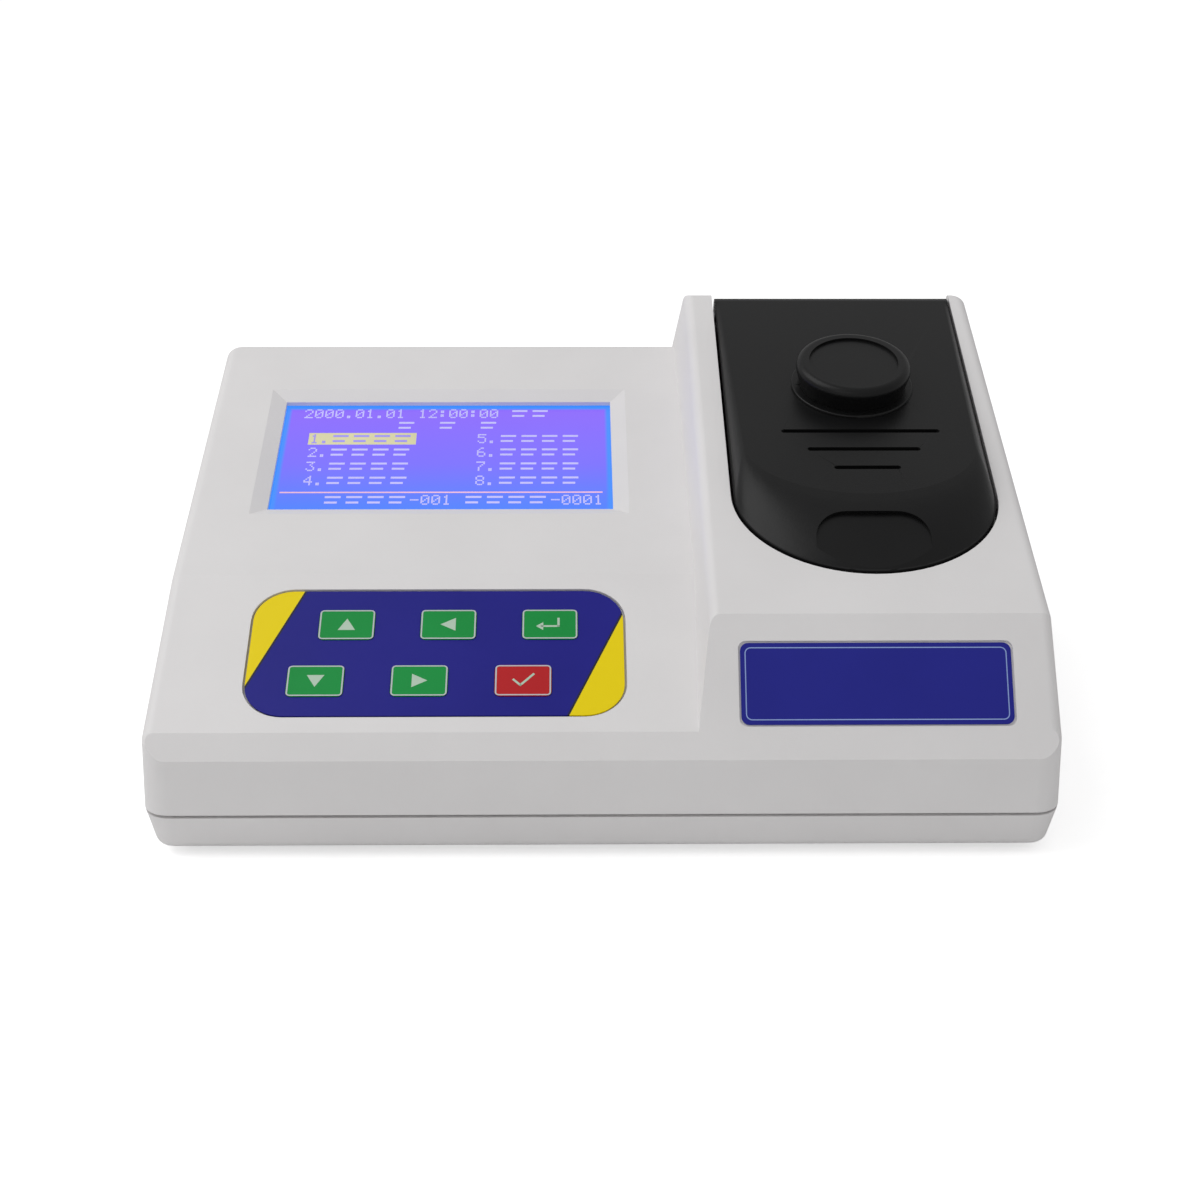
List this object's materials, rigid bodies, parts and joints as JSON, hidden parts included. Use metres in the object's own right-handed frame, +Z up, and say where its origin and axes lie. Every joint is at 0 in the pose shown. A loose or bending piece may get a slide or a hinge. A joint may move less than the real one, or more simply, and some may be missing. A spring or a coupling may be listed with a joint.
{
  "type": "benchtop formaldehyde analyzer",
  "caption": "Wedge-shaped benchtop photometric analyzer with a sloping display and keypad, and a raised sample compartment under a hinged light-tight lid with a lift-out plug.",
  "frame": {"origin": "on the desk, under the middle of the case's outline", "axes": "+X to the right as the user faces the display, +Y to the rear, +Z up"},
  "size_m": [0.268, 0.1962, 0.1198],
  "materials": {
    "case_shell": "fine-grained moulded ABS, off-white",
    "lid_black": "satin black moulded ABS",
    "inner_black": "matt black moulded plastic",
    "foot_rubber": "black rubber",
    "seal_foam": "soft black foam",
    "screw_steel": "zinc-plated steel",
    "board_green": "green circuit board",
    "display_blue": "backlit blue display",
    "backlight_white": "milky plastic",
    "clear_glass": "clear",
    "filter_glass": "coloured filter glass",
    "overlay_navy": "printed polyester film",
    "key_green": "printed polyester key",
    "key_red": "printed polyester key",
    "plate_blue": "blue polyester plate, bare",
    "capacitor_sleeve": "sleeved capacitors",
    "cable_film": "flat cable"
  },
  "bodies": {
    "housing": {"base_tray": "case_shell", "battery_holder": "inner_black", "board_capacitors": "capacitor_sleeve", "board_chips": "inner_black", "board_screws": "screw_steel", "board_sockets": "inner_black", "buzzer": "inner_black", "case_screws": "screw_steel", "clock_battery": "screw_steel", "collimator_lens": "clear_glass", "colour_filter": "filter_glass", "dc_jack": "inner_black", "dc_jack_nut": "screw_steel", "detector_board": "board_green", "detector_housing": "inner_black", "hinge_pins": "screw_steel", "keypad_domes": "screw_steel", "keypad_overlay": "overlay_navy", "keypad_spacer": "backlight_white", "keypad_tail": "cable_film", "lamp_board": "board_green", "lamp_housing": "inner_black", "lamp_led": "clear_glass", "lcd_backlight": "backlight_white", "lcd_bezel": "screw_steel", "lcd_board": "board_green", "lcd_glass": "display_blue", "lcd_ribbon": "cable_film", "lcd_screws": "screw_steel", "light_seal_ring": "seal_foam", "main_board": "board_green", "name_plate": "plate_blue", "optics_screws": "screw_steel", "photodiode": "screw_steel", "rubber_feet": "foot_rubber", "sample_well": "inner_black", "switch_housing": "inner_black", "top_cover": "case_shell", "usb_port": "screw_steel"},
    "lid": {"lid_shell": "lid_black", "lid_liner": "inner_black", "liner_screws": "screw_steel"},
    "plug": {"light_plug": "lid_black", "plug_ring": "foot_rubber"},
    "rocker": {"power_rocker": "inner_black"},
    "key_back": {"key_back": "key_green"},
    "key_confirm": {"key_confirm": "key_red"},
    "key_down": {"key_down": "key_green"},
    "key_left": {"key_left": "key_green"},
    "key_right": {"key_right": "key_green"},
    "key_up": {"key_up": "key_green"}
  },
  "joints": [
    {"name": "lid_hinge", "type": "hinge", "parent": "housing", "child": "lid", "pos_m": [0.0828, 0.08801, 0.11281], "axis": [-1, 0, 0], "range_deg": [0, 110]},
    {"name": "plug_lift", "type": "slide", "parent": "lid", "child": "plug", "axis": [0, -0.2622, 0.965], "range_m": [0, 0.025]},
    {"name": "rocker_tilt", "type": "hinge", "parent": "housing", "child": "rocker", "pos_m": [-0.104, 0.0926, 0.029], "axis": [0, 0, -1], "range_deg": [0, 20]},
    {"name": "press_back", "type": "slide", "parent": "housing", "child": "key_back", "axis": [0, 0.4099, -0.9121], "range_m": [0, 0.0003], "stiffness_N_per_m": 300},
    {"name": "press_confirm", "type": "slide", "parent": "housing", "child": "key_confirm", "axis": [0, 0.4099, -0.9121], "range_m": [0, 0.0003], "stiffness_N_per_m": 300},
    {"name": "press_down", "type": "slide", "parent": "housing", "child": "key_down", "axis": [0, 0.4099, -0.9121], "range_m": [0, 0.0003], "stiffness_N_per_m": 300},
    {"name": "press_left", "type": "slide", "parent": "housing", "child": "key_left", "axis": [0, 0.4099, -0.9121], "range_m": [0, 0.0003], "stiffness_N_per_m": 300},
    {"name": "press_right", "type": "slide", "parent": "housing", "child": "key_right", "axis": [0, 0.4099, -0.9121], "range_m": [0, 0.0003], "stiffness_N_per_m": 300},
    {"name": "press_up", "type": "slide", "parent": "housing", "child": "key_up", "axis": [0, 0.4099, -0.9121], "range_m": [0, 0.0003], "stiffness_N_per_m": 300}
  ]
}
